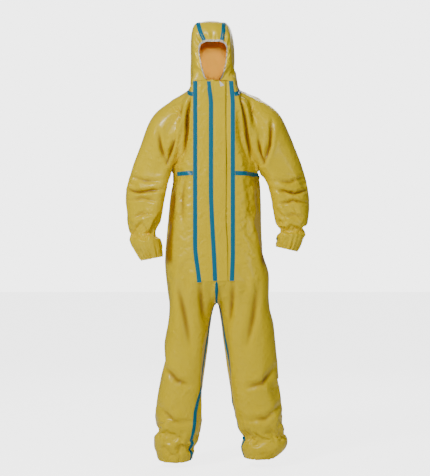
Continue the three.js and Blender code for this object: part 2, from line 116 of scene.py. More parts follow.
def panel(side, facing):
    """Grid of one trunk panel, rows from the leg line up and columns from the middle to the side seam. Each
    row is a quarter of a rounded rectangle; beside the armhole it turns into a flatter curve that runs on into
    the sleeve."""
    s = SIDES[side]
    column = 1 if s < 0 else 2
    u = np.linspace(0, 1, 14 if facing < 0 else 20)
    sine, cosine = np.sin(u * np.pi / 2) ** 0.8, np.cos(u * np.pi / 2) ** 0.8
    foot = FLY_FOOT + 38 * ramp(u, 0.35, 1)
    k = np.linspace(0, 1, LOWER_ROWS)[:, None]
    z = foot + (ARMPIT - foot) * k
    section = through(TRUNK, z)
    middle = fly_x(side, z) + s * SEAM_ROOM if facing < 0 else 6 - 14 * ramp(z, 744, 1480)
    depth = front_y(z) if facing < 0 else section[..., 2]
    low = np.stack([middle + (section[..., column - 1] - middle) * sine,
                    SIDE_Y + (depth - SIDE_Y) * cosine, z], -1)

    n = ARC_ROWS + SHOULDER_ROWS
    r = np.arange(1, n + 1)
    turn = np.minimum(r / ARC_ROWS, 1) * np.pi
    half, mid = (ARMHOLE_TOP[side] - ARMPIT) / 2, (ARMHOLE_TOP[side] + ARMPIT) / 2
    along = np.clip((r - ARC_ROWS) / SHOULDER_ROWS, 0, 1)
    end = np.stack([ARMHOLE_X[side] + (NECK_SIDE[side] - ARMHOLE_X[side]) * along,
                    SIDE_Y + facing * ARMHOLE_DEPTH * np.sin(turn) * (along == 0),
                    mid - half * np.cos(turn) + (NECK + 22 - ARMHOLE_TOP[side]) * along], -1)[:, None]
    zs = ARMPIT + (NECK + (0 if facing < 0 else 16) - ARMPIT) * r / n
    ys = front_y(zs) if facing < 0 else through(BACK, zs)[:, 0]
    xs = fly_x(side, zs) + s * SEAM_ROOM if facing < 0 else 6 - 14 * ramp(zs, 744, 1480)
    start = np.stack([xs, ys, zs], -1)[:, None]
    box = np.stack([start[..., 0] + (end[..., 0] - start[..., 0]) * sine,
                    end[..., 1] + (start[..., 1] - end[..., 1]) * cosine,
                    start[..., 2] + (end[..., 2] - start[..., 2]) * u**2], -1)
    t = u[None, :, None]
    reach = np.linalg.norm(end - start, axis=-1, keepdims=True)
    flat = ((2 * t**3 - 3 * t**2 + 1) * start + (t**3 - 2 * t**2 + t) * reach * np.array([s, 0, 0.0])
            + (3 * t**2 - 2 * t**3) * end + (t**3 - t**2) * reach * np.array([s * 0.8, 0, -0.45]))
    share = (ramp(turn, 0, 0.25 * np.pi) * (1 - ramp(r, ARC_ROWS * 0.85, ARC_ROWS + 3)))[:, None, None]
    grid = np.concatenate([low, box + (flat - box) * share])
    if facing < 0:
        seam = grid[:, :1].copy()
        seam[..., 0] -= s * SEAM_ROOM
        grid = np.concatenate([seam, grid], 1)
    return grid


cloth = {f"{side}_{name}": panel(side, facing)
         for side in SIDES for name, facing in (("front", -1), ("back", 1))}

# Sleeves. Each is one tube of the same cloth from the armhole to a wrist gathered on elastic, with one seam
# on its underside. They hang a little bent at the elbow.
# inner x, inner z, outer x, outer z, middle y, half depth
SLEEVE = {
    "right": [[-181, 1204, -254, 1425, 5, 92], [-181, 1200, -281, 1360, 4, 88],
              [-182, 1193, -301, 1296, 3, 84], [-183, 1186, -321, 1246, 2, 80],
              [-185, 1176, -337, 1198, 1, 77], [-194, 1145, -345, 1156, 0, 75],
              [-206, 1090, -356, 1096, -3, 73], [-216, 1035, -352, 1036, -8, 69],
              [-227, 950, -340, 950, -16, 62], [-210, 874, -325, 871, -23, 55],
              [-210, 852, -308, 844, -25, 45], [-210, 838, -292, 822, -26, 37]],
    "left": [[187, 1204, 266, 1430, 5, 92], [187, 1200, 290, 1366, 4, 88], [189, 1193, 314, 1303, 3, 84],
             [195, 1186, 341, 1252, 2, 80], [206, 1176, 358, 1202, 1, 77], [222, 1145, 365, 1158, 0, 75],
             [237, 1090, 379, 1096, -3, 73], [243, 1035, 380, 1036, -8, 69],
             [249, 960, 366, 960, -16, 60], [244, 906, 351, 904, -22, 54], [245, 892, 340, 882, -24, 46],
             [245, 877, 326, 858, -25, 38]],
}
SLEEVE_ROWS = 60
ELBOW = 1090


def sleeve(side):
    """Grid of a sleeve: rings of points carried from the armhole to the wrist. A ring is a rounded oval
    between its inner and its outer point, and the first one is the armhole's own edge."""
    c = np.arange(2 * ARC_ROWS)
    turn = np.where(c <= ARC_ROWS, c, 2 * ARC_ROWS - c) * np.pi / ARC_ROWS
    facing = np.where(c <= ARC_ROWS, 1, -1)
    half, mid = (ARMHOLE_TOP[side] - ARMPIT) / 2, (ARMHOLE_TOP[side] + ARMPIT) / 2
    rings = [np.stack([np.full(len(c), ARMHOLE_X[side]), SIDE_Y + facing * ARMHOLE_DEPTH * np.sin(turn),
                       mid - half * np.cos(turn)], -1)]
    for xi, zi, xo, zo, y, depth in SLEEVE[side]:
        a = (1 - np.sign(np.cos(turn)) * np.abs(np.cos(turn)) ** 0.93) / 2
        rings.append(np.stack([xi + (xo - xi) * a, y + facing * depth * np.sin(turn) ** 0.93,
                               zi + (zo - zi) * a], -1))
    rings = np.array(rings)
    step = np.linalg.norm(np.diff(rings.mean(1), axis=0), axis=-1)
    station = np.concatenate([[0], np.cumsum(step)])
    at = np.linspace(0, station[-1], SLEEVE_ROWS)
    keys = np.concatenate([station[:, None], rings.reshape(len(rings), -1)], 1)
    return through(keys, at).reshape(SLEEVE_ROWS, len(c), 3)


cloth.update({f"{side}_sleeve": sleeve(side) for side in SIDES})

# Trouser legs. Each leg is a tube that starts at the trunk's lower edge, with the crotch seam between the two,
# and ends in a hem; the ankle is gathered on elastic.
# height, inner x, outer x, half depth
LEG = {
    "right": [[640, -6, -196, 106], [592, -17, -199, 102], [505, -28, -213, 98], [430, -38, -216, 95],
              [355, -48, -228, 92], [264, -57, -240, 90], [150, -65, -248, 86], [84, -78, -245, 76],
              [44, -92, -228, 62]],
    "left": [[640, 16, 232, 106], [592, 24, 242, 102], [505, 36, 250, 98], [430, 48, 256, 95],
             [355, 58, 260, 92], [264, 72, 273, 90], [168, 97, 282, 86], [118, 111, 284, 76],
             [76, 103, 288, 78], [40, 118, 238, 60]],
}
CROTCH, MID_X = 655.0, 6.0
INNER_COLUMNS, LEG_ROWS, BELOW_FLY = 22, 66, 6


def leg(side):
    """Grid of a leg: rings from the trunk's lower edge and the crotch seam down to the hem. A ring starts at
    the front centre seam, goes round the outside to the back centre seam, and returns along the inside."""
    s = SIDES[side]
    front, back = cloth[f"{side}_front"][0], cloth[f"{side}_back"][0][::-1]
    below = np.linspace(MID_X, fly_x(side, FLY_FOOT), BELOW_FLY + 1)[:-1]
    fly = np.array([[x, front_y(FLY_FOOT), FLY_FOOT] for x in below])
    outer = np.concatenate([fly, front, back[1:]])
    t = np.linspace(0, 1, INNER_COLUMNS + 2)[1:-1]
    crotch = np.stack([np.full(len(t), MID_X), outer[-1, 1] + (outer[0, 1] - outer[-1, 1]) * ramp(t),
                       FLY_FOOT - (FLY_FOOT - CROTCH) * np.sin(np.pi * t) ** 0.6], -1)
    top = np.concatenate([outer, crotch])
    way = np.concatenate([[0], np.cumsum(np.linalg.norm(np.diff(outer, axis=0), axis=-1))])
    turn = np.concatenate([-np.pi / 4 + way / way[-1] * 1.5 * np.pi,
                           1.25 * np.pi + np.arange(1, INNER_COLUMNS + 1) / (INNER_COLUMNS + 1) * np.pi / 2])
    sine = np.sign(np.sin(turn)) * np.abs(np.sin(turn)) ** 0.88
    cosine = np.sign(np.cos(turn)) * np.abs(np.cos(turn)) ** 0.88
    rings, station = [top], [FLY_FOOT]
    for z, xi, xo, depth in LEG[side]:
        dip = 24 * ramp(z, 110, 40) if s < 0 else 8 * ramp(z, 110, 40)
        rings.append(np.stack([(xi + xo) / 2 + (xo - xi) / 2 * sine, 6 - cosine * depth,
                               z - dip * (0.5 + 0.5 * cosine)], -1))
        station.append(z)
    keys = np.concatenate([-np.array(station)[:, None], np.array(rings).reshape(len(rings), -1)], 1)
    at = np.linspace(-FLY_FOOT, -LEG[side][-1][0], LEG_ROWS)
    return through(keys, at).reshape(LEG_ROWS, -1, 3)


cloth.update({f"{side}_leg": leg(side) for side in SIDES})

# Hood. A middle strip runs from the forehead over the crown to the nape between two taped seams, and a side
# piece on each side reaches from there down to the neck seam and forward to the face opening.
# y, z, right seam x, left seam x, from the forehead over the crown and down the nape to the neck seam
CROWN = np.array([
    [-98, 1684, -40, 26], [-92, 1722, -56, 32], [-62, 1757, -66, 35], [-10, 1772, -68, 38], [50, 1763, -64, 40],
    [98, 1724, -56, 40], [120, 1668, -50, 38], [113, 1610, -48, 36], [97, 1556, -46, 34], [86, 1512, -46, 32],
    [84, 1497, -46, 32]], float)
# x, y, z of the face opening's edge from the forehead to the chin, then along the fly's head and down its side
FACE = {
    "right": [[-40, -98, 1684], [-55, -100, 1677], [-63, -101, 1656], [-61, -102, 1628], [-52, -103, 1584],
              [-42, -99, 1552], [-34, -93, 1536], [-56, -92, 1533], [-78, -91, 1531], [-78, -92, 1505],
              [-78, -93.1, 1480]],
    "left": [[26, -98, 1684], [40, -100, 1677], [47, -101, 1656], [46, -102, 1628], [39, -103, 1584],
             [29, -99, 1552], [20, -93, 1536], [42, -92, 1533], [63, -91, 1531], [65, -92, 1505],
             [67, -93.1, 1480]],
}
HOOD_ROWS, STRIP_COLUMNS = 42, 4


def spaced(points, at):
    """Points read along a smooth curve through the given ones, at shares of its length."""
    points = np.array(points, float)
    way = np.concatenate([[0], np.cumsum(np.linalg.norm(np.diff(points[:, :3], axis=0), axis=-1))])
    return through(np.concatenate([way[:, None], points], 1), np.asarray(at) * way[-1])


def crown_edge(side, at):
    """The taped seam on one side of the middle strip."""
    seam = CROWN[:, [2 if side == "right" else 3, 0, 1]].copy()
    seam[-1] = cloth[f"{side}_back"][-1, STRIP_COLUMNS]
    return spaced(seam, at)


def hood_side(side):
    """Grid of a hood side, columns from the face opening round to the nape and rows from the taped seam down
    to the neck seam. Each column is a Bezier arc that swells out to the temple; the first few
    bend into the line of the face opening."""
    s = SIDES[side]
    neck = np.concatenate([cloth[f"{side}_front"][-1], cloth[f"{side}_back"][-1][::-1][1:-STRIP_COLUMNS]])
    t = np.linspace(0, 1, len(neck))
    top = crown_edge(side, t)
    short = np.minimum(1, np.linalg.norm(top - neck, axis=-1) / 200)[:, None]
    full = np.sin(np.clip(t, 0.0, 0.97) * np.pi)[:, None] ** 0.5
    one = top + short * np.concatenate([s * (22 + 30 * full), -0.12 * top[:, 1:2], 0 * short - 5], 1)
    two = neck + short * np.concatenate([-s * 13 + 0 * short, 0.3 * (top - neck)[:, 1:2], 0 * short + 80], 1)
    r = np.linspace(0, 1, HOOD_ROWS)[:, None, None]
    arc = (1 - r) ** 3 * top + 3 * (1 - r) ** 2 * r * one + 3 * (1 - r) * r**2 * two + r**3 * neck
    edge = np.array(FACE[side], float)
    edge[-3:, 0] = fly_x(side, edge[-3:, 2])
    way = np.concatenate([[0], np.cumsum(np.linalg.norm(np.diff(edge, axis=0), axis=-1))])
    line = np.stack([np.interp(np.linspace(0, way[-1], HOOD_ROWS), way, edge[:, i]) for i in range(3)], -1)
    share = (1 - ramp(t, 0, 0.3))[None, :, None]
    return arc + (line[:, None] - arc[:, :1]) * share


def hood_strip():
    """Grid of the middle strip: rows along the crown line and columns across it, bowed up by 6 mm."""
    at = np.linspace(0, 1, cloth["right_hood"].shape[1])
    a, b = crown_edge("right", at)[:, None], crown_edge("left", at)[:, None]
    w = np.linspace(0, 1, 2 * STRIP_COLUMNS + 1)[None, :, None]
    run = np.gradient(a[:, 0], axis=0)
    up = np.stack([np.zeros(len(at)), -run[:, 2], run[:, 1]], -1)
    up = -up / np.linalg.norm(up, axis=-1, keepdims=True)
    bow = 6 * ramp(at, 0, 0.15) * (1 - ramp(at, 0.9, 1))
    strip = a + (b - a) * w + (4 * w * (1 - w)) * (up * -bow[:, None])[:, None]
    right, left = cloth["right_back"][-1], cloth["left_back"][-1]
    strip[-1] = np.concatenate([right[STRIP_COLUMNS:0:-1], left[:STRIP_COLUMNS + 1]])
    return strip


cloth.update({f"{side}_hood": hood_side(side) for side in SIDES})
cloth["hood_strip"] = hood_strip()

# Sewing. All the pieces of cloth are joined along their seams into one skin, eased at the armholes, shoulders
# and crotch, and let go for a moment so that the slack cloth buckles between the stiff seams.
RING = {name: name.endswith(("sleeve", "leg")) for name in cloth}


def cell_of(points):
    """The cell, 0.5 mm wide, that each point lies in; the two edges of a seam lie in the same cells."""
    return np.floor(points / 0.5 + 0.137).astype(int)


points = np.concatenate([g.reshape(-1, 3) for g in cloth.values()])
_, first, weld = np.unique(cell_of(points), axis=0, return_index=True, return_inverse=True)
weld = weld.reshape(-1)
skin = points[first]
number, count = {}, 0
for name, grid in cloth.items():
    rows, columns = grid.shape[:2]
    number[name] = weld[count:count + rows * columns].reshape(rows, columns)
    count += rows * columns


def quads(index, ring):
    """The four corners of every cell of a grid of point numbers; a ring closes on its first column."""
    side = np.roll(index, -1, 1) if ring else index[:, 1:]
    base = index if ring else index[:, :-1]
    return np.stack([base[:-1], side[:-1], side[1:], base[1:]], -1).reshape(-1, 4)


# 1 where a grid's cells face outwards as they are numbered, -1 where they have to be turned round
OUTWARD = {"right_front": -1, "left_front": 1, "right_back": 1, "left_back": -1, "right_sleeve": -1,
           "left_sleeve": 1, "right_leg": 1, "left_leg": -1, "right_hood": 1, "left_hood": -1, "hood_strip": 1}
cells = np.concatenate([quads(number[n], RING[n])[:, ::OUTWARD[n]] for n in cloth])
edges = np.unique(np.sort(np.concatenate([cells[:, [i, (i + 1) % 4]] for i in range(4)]), axis=1), axis=0)
edges = edges[edges[:, 0] != edges[:, 1]]


def weights(p, index):
    """How firmly each point of the skin keeps its place: 1 at elastic and tapes, almost 0 in open cloth."""
    w = np.full(len(p), 0.012)
    for side in SIDES:
        front, back = index[f"{side}_front"], index[f"{side}_back"]
        legs, arm, hood = index[f"{side}_leg"], index[f"{side}_sleeve"], index[f"{side}_hood"]
        w[front[:, 2]] = 0.2
        w[front[ARC_ROWS + LOWER_ROWS:, -1]] = 0.4
        w[arm[0]] = 0.1
        w[arm[-3:]] = 1
        w[legs[0, :BELOW_FLY]] = 1
        w[legs[0, -INNER_COLUMNS:]] = 0.6
        w[legs[-2:]] = 0.7
        w[hood] = np.maximum(w[hood], 0.05)
        w[hood[:, 0]] = 1
        w[hood[0]] = 0.8
        w[front[-1]] = 0.7
        w[back[-1]] = 0.5
        w[front[:, :2]] = 1
    w[index["hood_strip"]] = np.maximum(w[index["hood_strip"]], 0.3)
    return w


hold = weights(skin, number)
for _ in range(24):
    total, near = np.zeros_like(skin), np.zeros(len(skin))
    for a, b in ((0, 1), (1, 0)):
        np.add.at(total, edges[:, a], skin[edges[:, b]])
        np.add.at(near, edges[:, a], 1)
    ease = 0.5 * (1 - ramp(hold, 0.02, 0.4)) * (
        0.25 + 0.75 * ramp(skin[:, 2], 1120, 1200) * (1 - ramp(skin[:, 2], 1480, 1500)))
    skin = skin + (total / near[:, None] - skin) * ease[:, None]


def mesh_of(name, p, faces):
    """A mesh in metres from points in millimetres and a list of four-cornered faces."""
    mesh = bpy.data.meshes.new(name)
    mesh.from_pydata((np.asarray(p) * MM).tolist(), [], faces.tolist())
    mesh.validate()
    mesh.update()
    obj = bpy.data.objects.new(name, mesh)
    bpy.context.scene.collection.objects.link(obj)
    return obj


def settle(p, faces, w, slack, frames):
    """Where the skin comes to rest after a few steps of a cloth simulation: firm where w is 1, and with more
    cloth than its outline needs where slack is 1."""
    obj = mesh_of("settling", p, faces)
    for name, values in (("hold", w), ("slack", slack)):
        group = obj.vertex_groups.new(name=name)
        for level in np.unique(np.round(values, 2)):
            group.add(np.flatnonzero(np.round(values, 2) == level).tolist(), float(level), "REPLACE")
    cloth_settings = obj.modifiers.new("cloth", "CLOTH")
    c = cloth_settings.settings
    c.quality, c.mass, c.air_damping = 4, 0.15, 2.0
    c.tension_stiffness = c.compression_stiffness = 25
    c.shear_stiffness, c.bending_stiffness = 8, 0.9
    c.vertex_group_mass, c.pin_stiffness = "hold", 1.0
    c.vertex_group_shrink, c.shrink_min, c.shrink_max = "slack", -0.015, -0.07
    c.effector_weights.gravity = 0.15
    c.use_pressure, c.uniform_pressure_force = True, 0.25
    cloth_settings.collision_settings.use_collision = False
    cloth_settings.point_cache.frame_end = frames
    scene = bpy.context.scene
    for frame_number in range(1, frames + 1):
        scene.frame_set(frame_number)
    rested = obj.evaluated_get(bpy.context.evaluated_depsgraph_get()).to_mesh()
    out = np.empty(len(rested.vertices) * 3)
    rested.vertices.foreach_get("co", out)
    scene.frame_set(1)
    bpy.data.objects.remove(obj)
    return out.reshape(-1, 3) / MM


x, y, z = skin.T
limb = np.maximum(ramp(-x, 175, 200), ramp(x, 182, 205)) * ramp(z, 780, 840)
slack = np.clip(0.75 * limb * np.exp(-((z - ELBOW) / 60) ** 2)
                + 0.5 * np.exp(-((z - ELBOW) / 140) ** 2) * (1 - limb)
                + 0.35 * (1 - ramp(z, 640, 740)), 0, 1)
SETTLING_FRAMES, FARTHEST = 22, 26
rested = settle(skin, cells, hold, slack, SETTLING_FRAMES)
move = rested - skin
far = np.linalg.norm(move, axis=1, keepdims=True)
move[:, 1] = np.where(move[:, 1] * (skin[:, 1] - SIDE_Y) > 0, 0.45, 1) * move[:, 1]
skin = skin + move * np.minimum(1, FARTHEST / np.maximum(far, 1e-9))

# Folds. Finer grids carry what the settling is too coarse for: deep folds below the collar and at the armpits,
# bunched cloth in the elbows, pleats at the elastic, and a light crumple all over.
FINER = 3


def finer(grid, times, ring):
    """The same surface with more points: Catmull-Rom curves along the rows and then along the columns."""
    for axis in (0, 1):
        g = np.moveaxis(grid, axis, 0)
        n, closed = len(g), ring and axis == 1
        at = np.arange(n * times if closed else (n - 1) * times + 1) / times
        i = np.minimum(np.floor(at).astype(int), n - 1 if closed else n - 2)
        t = (at - i)[:, None, None]
        p = [g[(i + d) % n] if closed else g[np.clip(i + d, 0, n - 1)] for d in (-1, 0, 1, 2)]
        g = 0.5 * (2 * p[1] + (p[2] - p[0]) * t + (2 * p[0] - 5 * p[1] + 4 * p[2] - p[3]) * t**2
                   + (3 * p[1] - p[0] - 3 * p[2] + p[3]) * t**3)
        grid = np.moveaxis(g, 0, axis)
    return grid


def outward(grids):
    """Unit normals for each point of the grids, shared where grids meet along a seam."""
    p = np.concatenate([g.reshape(-1, 3) for g in grids.values()])
    _, join = np.unique(cell_of(p), axis=0, return_inverse=True)
    join = join.reshape(-1)
    total, start, place = np.zeros((join.max() + 1, 3)), 0, {}
    for name, g in grids.items():
        own = np.arange(g.shape[0] * g.shape[1]).reshape(g.shape[:2])
        place[name] = join[start:start + own.size].reshape(own.shape)
        q = quads(own, RING[name])[:, ::OUTWARD[name]]
        a, b, c, d = (g.reshape(-1, 3)[q[:, i]] for i in range(4))
        face = np.cross(c - a, d - b)
        for i in range(4):
            np.add.at(total, join[start + q[:, i]], face)
        start += own.size
    total /= np.linalg.norm(total, axis=1, keepdims=True) + 1e-12
    return {name: total[place[name]] for name in grids}


# x and z of the points along a fold, its width, its depth, and the side it is on: -1 front, 1 back
DEEP = [
    ([(-98, 1468), (-108, 1400), (-112, 1330), (-124, 1240)], 9, 11, -1),
    ([(-132, 1455), (-140, 1400), (-150, 1350)], 11, 5, -1),
    ([(102, 1472), (114, 1420), (124, 1330), (146, 1225)], 9, 12, -1),
    ([(140, 1460), (150, 1390), (158, 1340)], 11, 5, -1),
    ([(-186, 1208), (-172, 1262), (-158, 1312)], 12, 9, -1),
    ([(-190, 1205), (-214, 1270), (-226, 1340)], 13, 7, -1),
    ([(188, 1208), (178, 1262), (174, 1310)], 12, 9, -1),
    ([(194, 1206), (216, 1280), (226, 1380)], 13, 9, -1),
    ([(-186, 1208), (-158, 1262), (-140, 1330)], 16, 8, 1),
    ([(190, 1208), (162, 1262), (144, 1330)], 16, 8, 1),
    ([(-356, 1108), (-300, 1096), (-206, 1104)], 11, 8, -1),
    ([(-350, 1060), (-290, 1070), (-224, 1056)], 10, 5, -1),
    ([(-342, 1160), (-280, 1140), (-204, 1138)], 12, 5, -1),
    ([(-330, 990), (-280, 1010), (-236, 1004)], 11, 4, -1),
    ([(376, 1108), (320, 1090), (238, 1102)], 11, 8, -1),
    ([(378, 1050), (310, 1060), (246, 1044)], 10, 6, -1),
    ([(366, 1160), (300, 1134), (230, 1140)], 12, 5, -1),
    ([(360, 990), (310, 1004), (256, 996)], 11, 4, -1),
    ([(-120, 1150), (-132, 1060), (-128, 960)], 17, 5, -1),
    ([(-160, 1180), (-166, 1080), (-170, 980)], 13, 5, -1),
    ([(120, 1150), (138, 1060), (136, 960)], 17, 4, -1),
    ([(164, 1180), (172, 1080), (174, 980)], 13, 5, -1),
    ([(-60, 740), (-52, 660), (-36, 560)], 20, 6, -1),
    ([(-150, 730), (-120, 600), (-96, 470)], 24, 6, -1),
    ([(74, 740), (64, 660), (52, 560)], 20, 6, -1),
    ([(170, 730), (150, 600), (120, 470)], 24, 6, -1),
    ([(-200, 400), (-150, 350), (-90, 330)], 20, 6, -1),
    ([(240, 400), (190, 340), (110, 320)], 20, 6, -1),
    ([(-226, 250), (-160, 190), (-90, 180)], 18, 5, -1),
    ([(264, 250), (200, 200), (112, 190)], 18, 5, -1),
    ([(-110, 740), (-70, 690), (-10, 664)], 18, 5, 1),
    ([(124, 740), (84, 690), (20, 664)], 18, 5, 1),
    ([(-60, 1440), (-70, 1380), (-60, 1300)], 20, 4, 1),
    ([(50, 1440), (62, 1380), (50, 1300)], 20, 4, 1),
    ([(-100, 470), (-120, 420), (-130, 380)], 26, 4, 1),
    ([(120, 470), (140, 420), (150, 380)], 26, 4, 1),
]


def nearest(p, line):
    """Each point's distance from a line of (x, z) points, seen from the front, and its share of the way."""
    line = np.array(line, float)
    flat, best, share = p[..., ::2], np.full(p.shape[:-1], 1e9), np.zeros(p.shape[:-1])
    lengths = np.linalg.norm(np.diff(line, axis=0), axis=1)
    for i, (a, b) in enumerate(zip(line[:-1], line[1:])):
        t = np.clip(((flat - a) @ (b - a)) / lengths[i] ** 2, 0, 1)
        d = np.linalg.norm(flat - a - t[..., None] * (b - a), axis=-1)
        share = np.where(d < best, (lengths[:i].sum() + t * lengths[i]) / lengths.sum(), share)
        best = np.minimum(best, d)
    return best, share


def fold(p, n, line, width, depth, facing):
    """Height of one fold above the cloth: a valley along the line with a soft ridge on either side, fading out
    at both ends and where the cloth turns away from that side."""
    away, share = nearest(p, line)
    r = (away / width) ** 2
    fade = np.sin(np.pi * np.clip(share * 0.9 + 0.07, 0, 1)) ** 0.7
    return 1.5 * depth * (1.1 * r - 1) * np.exp(-r) * fade * ramp(n[..., 1] * facing, 0.05, 0.5)


def crumple(p, size, seed):
    """Uneven creases about size apart: folded sines in random directions, bent by slower ones."""
    rng = np.random.default_rng(seed)
    h = 0
    for _ in range(4):
        way, twist = rng.normal(size=(2, 3))
        way, twist = way / np.linalg.norm(way), twist / np.linalg.norm(twist)
        phase = p @ way / size + 1.6 * np.sin(p @ twist / (2.3 * size) + rng.uniform(0, 6)) + rng.uniform(0, 6)
        patchy = 0.5 + 0.5 * np.sin(p @ twist / (3.1 * size) + rng.uniform(0, 6))
        h = h + (0.62 - np.abs(np.sin(phase))) * patchy
    return h / 2


def relief(name, p, n):
    """Height of all the folds above one grid."""
    x, y, z = np.moveaxis(p, -1, 0)
    columns = p.shape[1]
    h = 0 * x
    for line, width, depth, facing in DEEP:
        h += fold(p, n, line, width, depth, facing)
    beside_fly = np.where(x < 0, fly_x("right", z) - x, x - fly_x("left", z))
    h = np.where((z < 742) | (y > 0), h, h * ramp(beside_fly, 8, 20))
    if "hood" in name:
        h += 1.2 * crumple(p, 11, 3) * ramp(z, 1480, 1520) * (1 - 0.6 * ramp(z, 1580, 1660))
        if name != "hood_strip":
            along = np.concatenate([[0], np.cumsum(np.linalg.norm(np.diff(p[:, 0], axis=0), axis=1))])
            away = np.linalg.norm(p - p[:, :1], axis=-1)
            above_chin = ramp(z[:, :1], 1530, 1560)
            gather = np.sin(along / 3.3 + 1.2 * np.sin(along / 9))[:, None]
            h += above_chin * 3.2 * np.exp(-(((away - 12) / 12) ** 2)) * gather
            h += above_chin * 2.0 * np.exp(-(((away - 26) / 18) ** 2)) * np.sin(along / 5.4 + 2)[:, None]
        else:
            along = np.concatenate([[0], np.cumsum(np.linalg.norm(np.diff(p[0], axis=0), axis=1))])
            away, mid = np.linalg.norm(p - p[:1], axis=-1), np.sin(np.pi * np.linspace(0, 1, columns)) ** 0.5
            h += mid * 2.4 * np.exp(-(((away - 13) / 13) ** 2)) * np.sin(along / 2.6 + 1.1 * np.sin(along / 7))
            h += mid * 2.0 * np.exp(-(((away - 32) / 24) ** 2)) * np.sin(along / 4.3 + 2 + away / 30)
    free = np.minimum(1, ramp(beside_fly, 9, 34) + ramp(-n[..., 1], 0.2, -0.2))
    turn = np.arctan2(y, x + 8)
    neck = np.sin(13 * turn + 2 * np.sin(3 * turn))
    h += 2.2 * np.exp(-((z - 1491) / 22) ** 2) * neck * free * (np.abs(x) < 125)
    if "front" in name or "back" in name:
        low = 0.35 if "front" in name else 1
        h += low * 3 * np.exp(-((z - WAIST) / 26) ** 2) * np.sin(24 * turn + np.sin(5 * turn)) * free
        h += 0.7 * crumple(p, 16, 5) * free * (1 - 0.5 * ramp(z, 800, 1000))
        h += 1.1 * crumple(p, 10, 6) * np.exp(-((z - 1430) / 60) ** 2) * free
    if name.endswith("sleeve"):
        phi = np.arange(columns) / columns * 2 * np.pi
        way = np.concatenate([[0], np.cumsum(np.linalg.norm(np.diff(p.mean(1), axis=0), axis=1))])[:, None]
        left = way[-1] - way
        pleat = np.sin(15 * phi + 1.3 * np.sin(3 * phi)) + 0.5 * np.sin(23 * phi + 2)
        h += pleat * (2.4 * np.exp(-((left - 10) / 17) ** 2) + 1.2 * np.exp(-((left - 40) / 26) ** 2))
        h += 1.2 * crumple(p, 13, 8) * ramp(way, 20, 60)
        bunched = crumple(p * np.array([0.45, 0.45, 1.5]), 13, 9)
        h += 2.2 * bunched * np.exp(-((z - ELBOW) / 75) ** 2) * ramp(way, 40, 90)
    if name.endswith("leg"):
        phi = np.arange(columns) / columns * 2 * np.pi
        pleat = np.sin(17 * phi + 1.3 * np.sin(3 * phi)) + 0.5 * np.sin(25 * phi + 2)
        tight = 116 if name.startswith("left") else 74
        h += pleat * (2.0 * np.exp(-((z - tight) / 18) ** 2) + 1.2 * np.exp(-((z - tight - 40) / 34) ** 2)
                      + 1.2 * ramp(z, 60, 30))
        h += 1.1 * crumple(p, 17, 11) * ramp(z, 745, 690)
        h += 2.4 * crumple(p * np.array([0.5, 0.5, 1.4]), 17, 12) * np.exp(-((z - 190) / 95) ** 2)
    return h


grids = {name: finer(skin[number[name]], FINER, RING[name]) for name in cloth}
normals = outward(grids)
height = {name: relief(name, g, normals[name]) for name, g in grids.items()}
grids = {name: g + normals[name] * height[name][..., None] for name, g in grids.items()}
normals = outward(grids)

# Trunk cloth. Each panel becomes a closed wall 0.6 mm thick: non-woven cloth with a glossy coating outside.
# The panels' joins are stitched and covered by the tapes.
CLOTH_THICK = 0.6


def crinkle():
    """Node group: a fine creased and felted height for coated cloth, from Object coordinates."""
    tree = bpy.data.node_groups.new("crinkle", "ShaderNodeTree")
    tree.interface.new_socket(name="Creases", in_out="INPUT", socket_type="NodeSocketFloat").default_value = 60
    tree.interface.new_socket(name="Height", in_out="OUTPUT", socket_type="NodeSocketFloat")
    tree.interface.new_socket(name="Grime", in_out="OUTPUT", socket_type="NodeSocketFloat")
    new, link = tree.nodes.new, tree.links.new
    given, out, where = new("NodeGroupInput"), new("NodeGroupOutput"), new("ShaderNodeTexCoord")
    creases, felt, broad = (new("ShaderNodeTexNoise") for _ in range(3))
    mix = new("ShaderNodeMath")
    creases.noise_type = "RIDGED_MULTIFRACTAL"
    creases.inputs["Detail"].default_value = 3
    creases.inputs["Distortion"].default_value = 0.4
    felt.inputs["Scale"].default_value = 900
    broad.inputs["Scale"].default_value = 9
    mix.operation = "MULTIPLY_ADD"
    mix.inputs[1].default_value = 0.10
    for node in (creases, felt, broad):
        link(where.outputs["Object"], node.inputs["Vector"])
    link(given.outputs["Creases"], creases.inputs["Scale"])
    link(felt.outputs["Fac"], mix.inputs[0])
    link(creases.outputs["Fac"], mix.inputs[2])
    link(mix.outputs[0], out.inputs["Height"])
    link(broad.outputs["Fac"], out.inputs["Grime"])
    return tree


CRINKLE = crinkle()


